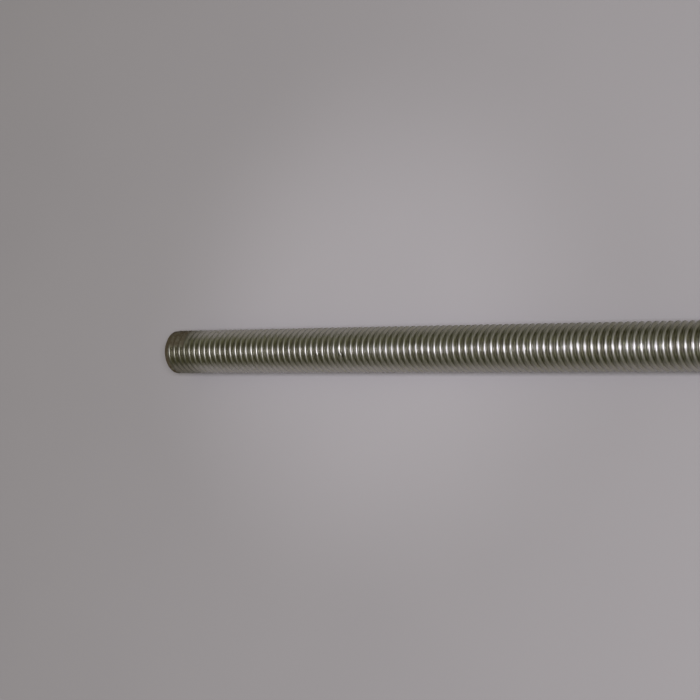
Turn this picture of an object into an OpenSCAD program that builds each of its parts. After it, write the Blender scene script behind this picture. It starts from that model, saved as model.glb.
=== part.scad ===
// Threaded rod: a length of fully threaded steel bar with a right-hand ISO metric thread
// from face to face and a chamfer at each end. It is one solid piece.
// The rod lies along X on the surface z = 0, with its middle over the origin.

/* [Rod] */
// Length of the rod, from face to face
rod_len = 160; // [60:5:240]

/* [Thread] */
// Nominal diameter of the thread
thread_d = 12; // [8:1:20]
// Distance along the axis from one turn to the next
pitch = 1.75; // [1:0.25:2.5]
// How far the crests lie below the nominal radius, as a free-running thread is rolled
crest_allowance = 0.12; // [0:0.01:0.15]
// Distance from the first face to the first full crest, along the top of the rod
crest_start = 1.5; // [0:0.05:2.5]

/* [Ends] */
// Width of the end chamfer, measured across the radius
chamfer = 0.25; // [0.1:0.05:1.5]
// Angle between the end chamfer and the axis
chamfer_angle = 45; // [25:5:65]

/* [Surface] */
// Most triangles that the whole thread may be drawn with
thread_triangles = 12000; // [6000:500:12500]

/* [Hidden] */

// Basic profile of an ISO metric thread, whose flanks meet at 60 degrees.
flank_angle = 30;
sharp_h = pitch / 2 / tan(flank_angle);
crest_r = thread_d / 2 - crest_allowance;
root_r = thread_d / 2 - sharp_h * 17 / 24;
crest_w = pitch / 8 + 2 * crest_allowance * tan(flank_angle);
root_w = pitch / 6;

// One turn of the profile, as [distance along the axis, radius] from the middle of the crest.
profile = [
    [-crest_w / 2, crest_r],
    [crest_w / 2, crest_r],
    [pitch / 2 - root_w / 2, root_r],
    [pitch / 2 + root_w / 2, root_r]
];
corners = len(profile);

// The helix is drawn in steps, as many to each quarter turn as the triangles allow.
// Step 0 is half a step past the underside of the rod, so the rod lies on a facet of the thread.
turns = rod_len / pitch;
spare_turns = 2;
triangles_a_step = 2 * corners;
quarter_steps = floor(thread_triangles / (4 * triangles_a_step * (turns + spare_turns)));
steps_a_turn = 4 * quarter_steps;
axis_height = crest_r * cos(180 / steps_a_turn);
function step_angle(s) = 360 * (s + 0.5) / steps_a_turn;
function step_along(s) = crest_start + pitch * ((s + 0.5) / steps_a_turn - 0.5);
function step_at(along) = steps_a_turn * ((along - crest_start) / pitch + 0.5) - 0.5;

// It starts a turn before the first face and ends past the second, and the end tools trim it.
first_step = floor(step_at(-pitch));
last_step = ceil(step_at(rod_len + pitch / 2));
helix_steps = last_step - first_step;

end_tool_r = thread_d / 2 + 1;
end_tool_depth = 3 * pitch;
face_r = crest_r - chamfer;

// Corner i of the profile at step s, with the axis along Z and the underside of the rod at +X.
function thread_point(s, i) =
    let (r = profile[i][1], a = step_angle(s))
    [r * cos(a), r * sin(a), step_along(s) + profile[i][0]];

module thread() {
    surface_points = [
        for (s = [first_step : last_step], i = [0 : corners - 1]) thread_point(s, i)
    ];
    first_pole = len(surface_points);
    last_pole = first_pole + 1;
    poles = [
        [0, 0, step_along(first_step) - crest_w],
        [0, 0, step_along(last_step) + pitch]
    ];

    // Index of corner i at step s of the helix. Corner 4 is the first corner one turn on.
    function at(s, i) = i < corners ? s * corners + i : (s + steps_a_turn) * corners;

    polyhedron(points = concat(surface_points, poles), faces = concat(
        // The four strips of the profile, swept along the helix
        [for (s = [0 : helix_steps - 1], i = [0 : corners - 1], half = [0, 1])
            if (i < corners - 1 || s + 1 + steps_a_turn <= helix_steps)
                half == 0 ? [at(s, i), at(s, i + 1), at(s + 1, i)]
                          : [at(s + 1, i), at(s, i + 1), at(s + 1, i + 1)]],
        // The first end, closed to a point on the axis
        [for (s = [0 : steps_a_turn - 1]) [first_pole, at(s, 0), at(s + 1, 0)]],
        [for (i = [0 : corners - 1]) [first_pole, at(0, i + 1), at(0, i)]],
        // The last end, closed the same way
        [for (s = [helix_steps - steps_a_turn : helix_steps - 1])
            [last_pole, at(s + 1, corners - 1), at(s, corners - 1)]],
        [for (i = [0 : corners - 2]) [last_pole, at(helix_steps, i), at(helix_steps, i + 1)]],
        [[last_pole, at(helix_steps - steps_a_turn, corners - 1), at(helix_steps, 0)]]
    ));
}

// What the end of the rod is cut with: all that lies outside the face and its chamfer.
module end_tool() {
    cone_len = (end_tool_r - face_r) / tan(chamfer_angle);
    rotate_extrude($fn = 64)
        polygon([
            [0, 0],
            [face_r, 0],
            [end_tool_r, cone_len],
            [end_tool_r, -end_tool_depth],
            [0, -end_tool_depth]
        ]);
}

module threaded_rod() {
    color("silver")
        translate([-rod_len / 2, 0, axis_height])
            rotate([0, 90, 0])
                difference() {
                    thread();
                    end_tool();
                    translate([0, 0, rod_len])
                        mirror([0, 0, 1])
                            end_tool();
                }
}

threaded_rod();
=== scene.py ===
import math
import random
from collections import namedtuple

import bmesh
import bpy
from mathutils import Matrix, Vector, noise


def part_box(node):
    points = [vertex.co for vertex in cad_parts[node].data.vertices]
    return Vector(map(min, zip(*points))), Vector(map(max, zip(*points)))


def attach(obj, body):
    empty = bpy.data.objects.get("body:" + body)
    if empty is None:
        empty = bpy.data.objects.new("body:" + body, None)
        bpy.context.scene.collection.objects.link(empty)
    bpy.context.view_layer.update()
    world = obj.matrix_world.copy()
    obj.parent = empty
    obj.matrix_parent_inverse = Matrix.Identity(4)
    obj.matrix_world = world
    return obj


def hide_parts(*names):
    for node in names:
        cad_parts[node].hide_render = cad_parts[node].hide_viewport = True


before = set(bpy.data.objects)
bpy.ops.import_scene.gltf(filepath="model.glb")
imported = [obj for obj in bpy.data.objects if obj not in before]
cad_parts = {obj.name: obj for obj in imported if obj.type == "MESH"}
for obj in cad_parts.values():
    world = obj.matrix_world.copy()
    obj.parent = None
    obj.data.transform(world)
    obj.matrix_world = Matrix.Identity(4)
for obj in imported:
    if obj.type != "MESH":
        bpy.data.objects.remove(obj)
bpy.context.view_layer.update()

MM = 0.001
DEGREE = math.pi / 180
FULL_TURN = 2 * math.pi
rod_low, rod_high = (Vector(corner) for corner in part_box("threaded_rod"))
ROD_LEN = rod_high.x - rod_low.x
AXIS_Z = (rod_low.z + rod_high.z) / 2

# The thread, M12 x 1.75, rolled a little under its nominal diameter
NOMINAL_R = 6.0 * MM
CREST_R = 5.88 * MM
PITCH = 1.75 * MM
CREST_START = 1.5 * MM  # from the first face to the first full crest, along the top of the rod
FLANK_ANGLE = 30 * DEGREE
SHARP_H = PITCH / 2 / math.tan(FLANK_ANGLE)
ROOT_R = NOMINAL_R - SHARP_H * 17 / 24
CREST_ROUND = 0.27 * MM
ROOT_ROUND = SHARP_H / 6
STEPS_A_TURN = 90
SHARP_EDGE = 38 * DEGREE  # edges that turn by more than this are not smoothed

# The ends, and what they are trimmed with
CHAMFER = 0.25 * MM
CUTTER_MARGIN = 2 * MM
CUTTER_DEPTH = 4 * PITCH
CUTTER_SIDES = 96

# How unevenly the crests were rolled: the noise that they follow, and how far they move
# along the rod and down
WEAR_LEN, WEAR_SPREAD = 3 * MM, 4
SWAY = 0.05 * MM
SINK = 0.02 * MM
SINK_OFFSET = Vector((9, 0, 0))

# How full of burr and of rust the grooves are at the first face, and the distance along
# the rod in which that falls by 1
BURR_FILL, BURR_FADE = 1.0, 2 * MM
RUST_FILL, RUST_FADE = 0.8, 10 * MM
# The filling starts this far towards +Y, as a share of the radius, grows from there with
# lumps in it, and stops short of the crests
FILL_FROM_SIDE = 0.2
FILL_GROWTH, FILL_LUMPS = 2.2, 1.5
FILL_LEN, FILL_SPREAD = 1 * MM, 5
FILL_BELOW_CREST = 0.15 * MM

# The knocks that the photograph shows on the crests, as (turn, degrees from the top towards
# +Y, half width, depth, push along, slope of the flat that is left). Turn 0 is the first full
# crest and lengths are in mm. Where its slope is positive the flat goes down towards the
# second end.
SEEN_NICKS = [
    (28, -21, 0.50, 0.03, 0.24, 0.50),
    (32, -7, 0.65, 0.03, -0.15, 0.50),
    (32, -24, 0.75, 0.02, 0.42, 0.50),
    (60, -16, 0.32, 0.12, 0.00, -0.20),
    (16, -24, 0.45, 0.10, 0.10, 0.00),
    (18, -19, 0.35, 0.08, -0.10, 0.00),
]
SMALL_NICKS = 160
Nick = namedtuple("Nick", "along angle width depth push slope")
random.seed(12)

# The view of the photograph
PHOTO_PX = 700
FOCAL_PX = 1598
SENSOR_WIDTH = 36  # in mm, like the lens
ROD_TILT = 33.4 * DEGREE  # how far the rod leans out of the picture, towards the camera
ROD_ROLL = 0.65 * DEGREE
CAMERA_SIDE = 10.5 * DEGREE  # how far the camera stands on the -Y side of the rod
CAMERA_DISTANCE = 411.6 * MM
FACE_TO_AIM = 57.15 * MM  # from the first face to the middle of the picture, along the rod

# Lines along the rod, by how far they lie from the top towards +Y, as shares of the radius
GRIME_AND_SHADE_LINE = -0.24  # the middle of the grime and of the painted shade
PAINTED_TINT_LINE = -0.17  # where the painted tint of the light is bluest
PAINTED_SHADE_LINE = -0.10  # where the painted shade in the grooves is darkest

# Colours in linear light. Pairs are the two ends of a blend.
FLANKS = (0.60, 0.58, 0.555, 1), (0.63, 0.61, 0.61, 1)
# Dirt and painted shade in the roots
ROOT_DIRT_AND_SHADE = (0.11, 0.10, 0.078, 1), (0.17, 0.165, 0.140, 1)
OLIVE_STAIN = (0.36, 0.358, 0.235, 1)
# Grime and painted shade in the grooves, and crests from clean to grimy and shaded
GRIME_AND_SHADE = (0.40, 0.388, 0.30, 1)
CRESTS_CLEAN_TO_DIRTY_AND_SHADED = (0.56, 0.542, 0.585, 1), (0.44, 0.425, 0.422, 1)
FIRST_CRESTS = (0.24, 0.232, 0.214, 1)
# Painted shade, with a green tint, on the sides
SIDES_PAINTED_SHADE = (0.47, 0.48, 0.365, 1)
# Painted tint of the light, from along the top to the sides
PAINTED_TINT_MID_TO_SIDES = (1.0, 0.995, 1.02, 1), (0.99, 0.99, 0.925, 1)
SAWN_STEEL = (0.33, 0.32, 0.30, 1), (0.50, 0.49, 0.47, 1)
RUST = (0.032, 0.021, 0.009, 1), (0.095, 0.072, 0.040, 1)
PAPER = (0.490, 0.460, 0.520, 1), (0.520, 0.488, 0.548, 1)
# Painted fall-off of light on the paper, away from the middle
PAPER_PAINTED_FALLOFF = (0.83, 0.83, 0.82, 1)
PAPER_FAR_GLOW = (0.21, 0.20, 0.22, 1)
STUDIO_LOW_TO_HIGH = (0.37, 0.35, 0.38, 1), (0.158, 0.157, 0.095, 1)

# The studio
FLOOR_HALF = 2.0
LAMP_HEIGHT = 0.90


def thread_profile():
    """One turn of the thread's outline, as (distance along the axis, radius) from mid-crest."""
    # At the nominal radius the crest would be an eighth of the pitch wide
    crest_half = PITCH / 16 + (NOMINAL_R - CREST_R) * math.tan(FLANK_ANGLE)
    edge_along = crest_half - CREST_ROUND * math.tan(FLANK_ANGLE)
    edge_r = CREST_R - CREST_ROUND
    edge = [
        (edge_along + CREST_ROUND * math.sin(turn), edge_r + CREST_ROUND * math.cos(turn))
        for turn in (0, 30 * DEGREE, 60 * DEGREE)
    ]
    root_r = ROOT_R + ROOT_ROUND
    root = [
        (PITCH / 2 + ROOT_ROUND * math.sin(turn), root_r - ROOT_ROUND * math.cos(turn))
        for turn in (-60 * DEGREE, -30 * DEGREE, 0, 30 * DEGREE, 60 * DEGREE)
    ]
    return [(-along, radius) for along, radius in reversed(edge)] + edge + root


def rod_point(along, angle, radius):
    """A point of the rod. The angle starts underneath and passes +Y, the top and -Y."""
    return (
        rod_low.x + along,
        radius * math.sin(angle),
        AXIS_Z - radius * math.cos(angle),
    )


def crest_at(turns):
    """How far from the first face the crest is. The first one is on top at half a turn."""
    return CREST_START + PITCH * (turns - 0.5)


def nick_list():
    """The knocks that the photograph shows, and small random ones all over the rod."""
    nicks = [
        Nick(
            along=CREST_START + PITCH * (turn - from_top / 360),
            angle=(180 - from_top) * DEGREE,
            width=width * MM,
            depth=depth * MM,
            push=push * MM,
            slope=slope,
        )
        for turn, from_top, width, depth, push, slope in SEEN_NICKS
    ]
    for _ in range(SMALL_NICKS):
        turn = random.uniform(0, ROD_LEN / PITCH)
        angle = random.uniform(0, FULL_TURN)
        width = random.uniform(0.2, 0.5) * MM
        depth = random.uniform(0.02, 0.08) * MM
        push = random.uniform(-0.06, 0.06) * MM
        slope = random.uniform(-0.5, 0.6)
        along = crest_at(round(turn) + angle / FULL_TURN)
        nicks.append(Nick(along, angle, width, depth, push, slope))
    return nicks


def noise_place(along, angle, lump_len, spread):
    """Where noise is read for a point of the rod, so that it joins up all the way round."""
    return Vector((along / lump_len, spread * math.sin(angle), spread * math.cos(angle)))


def worn(along, angle, radius):
    """Where a point of the outline lies on a rolled thread that was never quite even."""
    if radius < CREST_R - CREST_ROUND:
        return along, radius
    place = noise_place(along, angle, WEAR_LEN, WEAR_SPREAD)
    sway = noise.noise(place) * SWAY
    sink = (noise.noise(place + SINK_OFFSET) + 0.5) * SINK
    return along + sway, radius - max(sink, 0)


def knocked(along, angle, radius, nicks):
    """Where the knocks near a point leave it. Each one leaves a tilted flat on the crest."""
    moved = along
    for nick in nicks:
        reach_along = (along - nick.along) / nick.width
        if abs(reach_along) > 1:
            continue
        turned = (angle - nick.angle + math.pi) % FULL_TURN - math.pi
        reach = math.hypot(reach_along, turned * CREST_R / nick.width)
        if reach < 1:
            share = 1 - reach * reach
            flat = CREST_R - nick.depth - nick.slope * (along - nick.along)
            radius -= max(radius - flat, 0) * share
            moved += nick.push * share
    return moved, radius


def clogged(along, angle, radius):
    """How high rust and the burr of the saw fill the first grooves, on the +Y side."""
    fill = max(BURR_FILL - along / BURR_FADE, RUST_FILL - along / RUST_FADE)
    to_side = math.sin(angle) - FILL_FROM_SIDE
    if fill < 0 or to_side < 0:
        return radius
    lumps = noise.noise(noise_place(along, angle, FILL_LEN, FILL_SPREAD))
    share = min(fill * to_side * (FILL_GROWTH + FILL_LUMPS * lumps), 1)
    return max(radius, ROOT_R + share * (CREST_R - FILL_BELOW_CREST - ROOT_R))


def thread_mesh():
    """A closed helix longer than the rod, to be trimmed at both ends."""
    profile = thread_profile()
    corners = len(profile)
    first = math.floor(STEPS_A_TURN * (-PITCH - CREST_START) / PITCH)
    last = math.ceil(STEPS_A_TURN * ((ROD_LEN + PITCH - CREST_START) / PITCH + 1))
    steps = last - first
    nicks = nick_list()

    points = []
    for step in range(first, last + 1):
        angle = FULL_TURN * step / STEPS_A_TURN
        crest_along = crest_at(step / STEPS_A_TURN)
        near = [nick for nick in nicks if abs(nick.along - crest_along) < PITCH]
        for from_crest, radius in profile:
            along, worn_r = worn(crest_along + from_crest, angle, radius)
            along, knocked_r = knocked(along, angle, worn_r, near)
            points.append(rod_point(along, angle, clogged(along, angle, knocked_r)))
    start_pole = len(points)
    end_pole = start_pole + 1
    points.append(rod_point(crest_at(first / STEPS_A_TURN - 0.5), 0, 0))
    points.append(rod_point(crest_at(last / STEPS_A_TURN + 1.5), 0, 0))

    def at(step, corner):
        """Index of a corner of the outline. The one after the last starts the next turn."""
        if corner < corners:
            return step * corners + corner
        return (step + STEPS_A_TURN) * corners

    faces = [
        (at(step, corner), at(step, corner + 1), at(step + 1, corner + 1), at(step + 1, corner))
        for step in range(steps)
        for corner in range(corners)
        if corner < corners - 1 or step + 1 + STEPS_A_TURN <= steps
    ]
    faces += [(start_pole, at(step, 0), at(step + 1, 0)) for step in range(STEPS_A_TURN)]
    faces += [(start_pole, at(0, corner + 1), at(0, corner)) for corner in range(corners)]
    faces += [
        (end_pole, at(step + 1, corners - 1), at(step, corners - 1))
        for step in range(steps - STEPS_A_TURN, steps)
    ]
    faces += [
        (end_pole, at(steps, corner), at(steps, corner + 1)) for corner in range(corners - 1)
    ]
    faces.append((end_pole, at(steps - STEPS_A_TURN, corners - 1), at(steps, 0)))

    mesh = bpy.data.meshes.new("zinc_plated_rod")
    mesh.from_pydata(points, [], faces)
    return mesh


def add_object(name, data):
    """An object with this mesh, lamp or camera, linked into the scene."""
    made = bpy.data.objects.new(name, data)
    bpy.context.collection.objects.link(made)
    return made


def end_cutter(name, face_along, outwards):
    """What one end of the rod is trimmed with: all that lies outside its face and chamfer."""
    face_r = CREST_R - CHAMFER
    far_r = CREST_R + CUTTER_MARGIN
    outline = [(0, face_r), (face_r - far_r, far_r), (CUTTER_DEPTH, far_r)]
    shape = bmesh.new()
    rings = [
        [
            shape.verts.new(rod_point(
                face_along + outwards * out, FULL_TURN * side / CUTTER_SIDES, radius
            ))
            for side in range(CUTTER_SIDES)
        ]
        for out, radius in outline
    ]
    shape.faces.new(rings[0])
    shape.faces.new(rings[-1])
    for inner, outer in zip(rings, rings[1:]):
        for side in range(CUTTER_SIDES):
            after = (side + 1) % CUTTER_SIDES
            shape.faces.new((inner[side], outer[side], outer[after], inner[after]))
    bmesh.ops.recalc_face_normals(shape, faces=shape.faces)
    mesh = bpy.data.meshes.new(name)
    shape.to_mesh(mesh)
    shape.free()
    return add_object(name, mesh)


def make_rod():
    """The helix, trimmed to the rod's two faces, in place of the CAD rod."""
    rod = add_object("zinc_plated_rod", thread_mesh())
    cutters = [
        end_cutter("first_end_cutter", 0, -1),
        end_cutter("second_end_cutter", ROD_LEN, 1),
    ]
    for cutter in cutters:
        trim = rod.modifiers.new(cutter.name, "BOOLEAN")
        trim.operation = "DIFFERENCE"
        trim.solver = "MANIFOLD"
        trim.object = cutter
    trimmed = bpy.data.meshes.new_from_object(
        rod.evaluated_get(bpy.context.evaluated_depsgraph_get())
    )
    rod.modifiers.clear()
    rod.data = trimmed
    for cutter in cutters:
        bpy.data.objects.remove(cutter)
    trimmed.shade_smooth()
    trimmed.set_sharp_from_angle(angle=SHARP_EDGE)
    trimmed.materials.clear()
    trimmed.materials.append(zinc_plate())
    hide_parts("threaded_rod")
    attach(rod, "root")


class Shader:
    """The nodes of a material or a world, added one at a time and joined by their values."""

    def __init__(self, owner, surface):
        owner.use_nodes = True
        self.tree = owner.node_tree
        self.surface = self.tree.nodes[surface]

    def put(self, socket, value):
        """Set a socket to a number or a colour, or join it to another node's output."""
        if isinstance(value, bpy.types.NodeSocket):
            self.tree.links.new(value, socket)
        else:
            socket.default_value = value

    def put_surface(self, **values):
        """Set inputs of the surface. A name's underscores stand for spaces."""
        for name, value in values.items():
            self.put(self.surface.inputs[name.replace("_", " ")], value)

    def add(self, kind, inputs, **settings):
        node = self.tree.nodes.new("ShaderNode" + kind)
        for name, value in settings.items():
            setattr(node, name, value)
        for name, value in inputs.items():
            self.put(node.inputs[name], value)
        return node

    def maths(self, operation, first, second=0.0):
        return self.add("Math", {0: first, 1: second}, operation=operation).outputs[0]

    def times(self, first, second):
        return self.maths("MULTIPLY", first, second)

    def greater(self, first, second):
        return self.maths("MAXIMUM", first, second)

    def blend(self, factor, first, second, kind="MIX"):
        """The first colour where the factor is 0, and the second where it is 1."""
        inputs = {0: factor, 6: first, 7: second}
        return self.add("Mix", inputs, data_type="RGBA", blend_type=kind).outputs[2]

    def ramp(self, value, low, high, to_low=0.0, to_high=1.0):
        """A smooth step from one value to another while the input goes from low to high."""
        inputs = {
            "Value": value,
            "From Min": low,
            "From Max": high,
            "To Min": to_low,
            "To Max": to_high,
        }
        return self.add("MapRange", inputs, interpolation_type="SMOOTHSTEP").outputs[0]

    def object_place(self):
        return self.add("TexCoord", {}).outputs["Object"]

    def split(self, vector):
        return self.add("SeparateXYZ", {"Vector": vector}).outputs

    def noise(self, place, size, detail=3.0, rough=0.5):
        """Noise from 0 to 1 whose lumps are about this size, in metres."""
        inputs = {"Vector": place, "Scale": 1 / size, "Detail": detail, "Roughness": rough}
        return self.add("TexNoise", inputs).outputs["Fac"]


class RodShader(Shader):
    """The nodes of the rod's material, with the measures that its parts share."""

    def __init__(self, material):
        super().__init__(material, "Principled BSDF")
        self.place = self.object_place()
        split = self.split(self.place)
        height = self.maths("SUBTRACT", split["Z"], AXIS_Z)
        squares = self.maths("ADD", self.times(split["Y"], split["Y"]), self.times(height, height))
        self.radius = self.maths("SQRT", squares)
        self.to_side = self.maths("DIVIDE", split["Y"], self.radius)
        self.from_face = self.maths("SUBTRACT", split["X"], rod_low.x)
        self.off_shade_line = self.off_line(PAINTED_SHADE_LINE)
        self.mottle = self.noise(self.place, 1.1 * MM, 4.0, 0.6)
        self.grain = self.noise(self.place, 0.22 * MM, 3.0, 0.6)

    def off_line(self, line):
        """How far a point lies from one of the lines along the rod."""
        return self.maths("ABSOLUTE", self.maths("SUBTRACT", self.to_side, line))


def plate_colour(nodes, depth, crest):
    """Zinc with dull, stained grooves and cleaner crests, dirtier towards the rusted end; with
    painted shade and a painted tint.
    """
    patches = nodes.noise(nodes.place, 9 * MM)
    flank = nodes.blend(nodes.ramp(patches, 0.35, 0.65), *FLANKS)
    root = nodes.blend(nodes.ramp(patches, 0.40, 0.60), *ROOT_DIRT_AND_SHADE)
    stain = nodes.ramp(nodes.mottle, 0.50, 0.75, 0.0, 0.6)
    groove = nodes.blend(stain, nodes.blend(depth, root, flank), OLIVE_STAIN)

    # Grime towards the rusted end and painted shade, held to a band along the top; near the end
    # itself the grime goes all round
    grime_and_shade = nodes.times(
        nodes.ramp(nodes.from_face, -20 * MM, 150 * MM, 1.0, 0.0),
        nodes.ramp(nodes.off_line(GRIME_AND_SHADE_LINE), 0.35, 0.75, 1.0, 0.0),
    )
    grime_and_shade = nodes.greater(grime_and_shade, nodes.ramp(nodes.from_face, 4 * MM, 14 * MM, 0.75, 0.0))
    groove = nodes.blend(grime_and_shade, groove, GRIME_AND_SHADE, "MULTIPLY")
    crest_dirt_and_shade = nodes.blend(grime_and_shade, *CRESTS_CLEAN_TO_DIRTY_AND_SHADED)
    crest_tone = nodes.blend(nodes.ramp(nodes.from_face, 7 * MM, 12 * MM), FIRST_CRESTS, crest_dirt_and_shade)
    metal = nodes.blend(crest, groove, crest_tone)

    # Painted shade with a green tint on the sides: darker and greener, most of all away from the
    # rusted end, and a little less at the edge on the -Y side
    side_shade = nodes.times(
        nodes.ramp(nodes.from_face, 0.0, 120 * MM, 0.35, 0.85),
        nodes.ramp(nodes.off_shade_line, 0.35, 0.65),
    )
    side_shade = nodes.times(side_shade, nodes.ramp(nodes.to_side, -0.95, -0.75, 0.60, 1.0))
    metal = nodes.blend(side_shade, metal, SIDES_PAINTED_SHADE, "MULTIPLY")

    # Painted tint of the light: bluer along the top, yellower towards the sides
    painted_tint = nodes.blend(nodes.ramp(nodes.off_line(PAINTED_TINT_LINE), 0.10, 0.35), *PAINTED_TINT_MID_TO_SIDES)
    return nodes.blend(1.0, metal, painted_tint, "MULTIPLY")


def rust_share(nodes, sawn):
    """How rusty the rod is: round the sawn rim, and from it over one side of the first turns."""
    ragged = nodes.times(nodes.maths("SUBTRACT", nodes.mottle, 0.5), 2 * MM)
    edge = nodes.maths("ADD", nodes.from_face, ragged)
    rim = nodes.ramp(edge, 0.4 * MM, 1.1 * MM, 1.0, 0.0)
    side = nodes.times(
        nodes.ramp(nodes.to_side, -0.04, 0.22),
        nodes.ramp(edge, 5 * MM, 8 * MM, 1.0, 0.0),
    )
    rust = nodes.greater(rim, nodes.times(side, nodes.ramp(nodes.mottle, 0.25, 0.60, 0.6, 1.0)))
    patches = nodes.ramp(nodes.noise(nodes.place, 4 * MM, 4.0), 0.40, 0.62, 0.75, 0.0)
    bare = nodes.times(sawn, patches)
    return nodes.greater(nodes.maths("SUBTRACT", rust, bare), 0.0)


def zinc_plate():
    """Zinc plate, stained, grimy and painted with shade in the grooves, rubbed on the crests, with
    sawn ends.
    """
    material = bpy.data.materials.new("zinc_plate")
    nodes = RodShader(material)

    # 0 in the roots and 1 on the flanks. The roots' dirt and painted shade are dark only near one
    # line, and the painted shade lifts towards the sides.
    depth = nodes.greater(
        nodes.ramp(nodes.radius, ROOT_R + 0.08 * MM, ROOT_R + 0.32 * MM),
        nodes.ramp(nodes.off_shade_line, 0.30, 0.60, 0.0, 0.65),
    )
    crest = nodes.ramp(nodes.radius, CREST_R - 0.22 * MM, CREST_R - 0.06 * MM)
    metal = plate_colour(nodes, depth, crest)

    # The sawn faces: bare steel with the marks of the saw
    from_end = nodes.maths("SUBTRACT", ROD_LEN, nodes.from_face)
    from_nearest = nodes.maths("MINIMUM", nodes.from_face, from_end)
    sawn = nodes.ramp(from_nearest, 0.02 * MM, 0.05 * MM, 1.0, 0.0)
    stretched = nodes.add("VectorMath", {0: nodes.place, 1: (1, 0.1, 1)}, operation="MULTIPLY")
    marks = nodes.noise(stretched.outputs["Vector"], 0.25 * MM, 2.0)
    metal = nodes.blend(sawn, metal, nodes.blend(marks, *SAWN_STEEL))

    rust = rust_share(nodes, sawn)
    nodes.put_surface(
        Base_Color=nodes.blend(rust, metal, nodes.blend(nodes.grain, *RUST)),
        Metallic=nodes.maths("SUBTRACT", 1.0, rust),
    )

    # Roughness: dull roots, smooth flanks, and crests in between
    groove_rough = nodes.ramp(depth, 0.0, 1.0, 0.50, 0.22)
    crest_rough = nodes.ramp(nodes.mottle, 0.3, 0.7, 0.36, 0.42)
    rough = nodes.add("Mix", {0: crest, 2: groove_rough, 3: crest_rough}).outputs[0]
    nodes.put_surface(Roughness=nodes.greater(rough, nodes.times(rust, 0.8)))

    relief = nodes.maths("ADD", nodes.grain, nodes.times(sawn, marks))
    relief = nodes.maths("ADD", relief, nodes.times(nodes.mottle, 2.0))
    bump = nodes.add("Bump", {"Height": relief, "Strength": 0.4, "Distance": 0.03 * MM})
    nodes.put_surface(Normal=bump.outputs["Normal"])
    return material


def paper():
    """Pale paper with faint clouds, and painted shade: a little darker away from the middle of the
    picture.
    """
    material = bpy.data.materials.new("paper")
    nodes = Shader(material, "Principled BSDF")
    place = nodes.object_place()
    tone = nodes.blend(nodes.noise(place, 60 * MM, 2.0), *PAPER)
    middle = (rod_low.x + FACE_TO_AIM, 10 * MM, 0)
    away = nodes.add("VectorMath", {0: place, 1: middle}, operation="DISTANCE").outputs["Value"]
    # Painted shade: the light falls off away from the middle of the picture
    tone = nodes.blend(nodes.ramp(away, 20 * MM, 80 * MM), tone, PAPER_PAINTED_FALLOFF, "MULTIPLY")

    # Far from the rod, where the lamps hardly reach, the paper is seen as pale as near it
    path = nodes.add("LightPath", {}).outputs
    seen = nodes.greater(path["Is Camera Ray"], path["Is Glossy Ray"])
    seen = nodes.greater(seen, path["Is Transmission Ray"])
    off_rod = nodes.maths("ABSOLUTE", nodes.split(place)["Y"])
    nodes.put_surface(
        Base_Color=tone,
        Emission_Color=PAPER_FAR_GLOW,
        Emission_Strength=nodes.times(seen, nodes.ramp(off_rod, 0.15, 1.0)),
        Roughness=0.9,
        Specular_IOR_Level=0.2,
    )
    return material


def make_floor():
    """A flat sheet of paper, as far below the axis as the rod's round crests reach."""
    shape = bmesh.new()
    bmesh.ops.create_grid(shape, x_segments=1, y_segments=1, size=FLOOR_HALF)
    mesh = bpy.data.meshes.new("paper")
    shape.to_mesh(mesh)
    shape.free()
    mesh.materials.append(paper())
    floor = add_object("paper", mesh)
    floor.location.z = AXIS_Z - CREST_R


def aim_camera():
    """The camera where the photograph was taken from."""
    data = bpy.data.cameras.new("photo_camera")
    data.sensor_width = SENSOR_WIDTH
    data.lens = SENSOR_WIDTH * FOCAL_PX / PHOTO_PX
    data.clip_start = 10 * MM
    # The rod's own directions, as the camera sees them
    along = Vector((
        math.cos(ROD_TILT) * math.cos(ROD_ROLL),
        math.cos(ROD_TILT) * math.sin(ROD_ROLL),
        math.sin(ROD_TILT),
    ))
    up = Vector((
        -math.sin(ROD_TILT) * math.cos(ROD_ROLL),
        -math.sin(ROD_TILT) * math.sin(ROD_ROLL),
        math.cos(ROD_TILT),
    ))
    turn = Matrix.Rotation(CAMERA_SIDE, 3, "X") @ Matrix((along, up.cross(along), up))
    aim = Vector((rod_low.x + FACE_TO_AIM, 0, AXIS_Z))
    place = aim + turn @ Vector((0, 0, CAMERA_DISTANCE))
    camera = add_object("photo_camera", data)
    camera.matrix_world = Matrix.Translation(place) @ turn.to_4x4()
    bpy.context.scene.camera = camera


def softbox(name, x, y, size, power):
    """A level rectangular lamp that shines down."""
    data = bpy.data.lights.new(name, "AREA")
    data.shape = "RECTANGLE"
    data.size, data.size_y = size
    data.energy = power
    add_object(name, data).location = (x, y, LAMP_HEIGHT)


def light_scene():
    """A dim studio with two lamps, one far past the first end and one above the camera."""
    world = bpy.data.worlds.new("studio")
    bpy.context.scene.world = world
    nodes = Shader(world, "Background")
    direction = nodes.add("TexCoord", {}).outputs["Generated"]
    height = nodes.ramp(nodes.split(direction)["Z"], 0.02, 0.12)
    nodes.put_surface(Color=nodes.blend(height, *STUDIO_LOW_TO_HIGH))
    softbox("long_softbox", x=-1.60, y=-0.125, size=(1.40, 0.42), power=2.9)
    softbox("camera_softbox", x=0.60, y=-0.12, size=(0.50, 0.28), power=9.9)


make_rod()
make_floor()
aim_camera()
light_scene()

bpy.context.scene.view_settings.view_transform = "Standard"
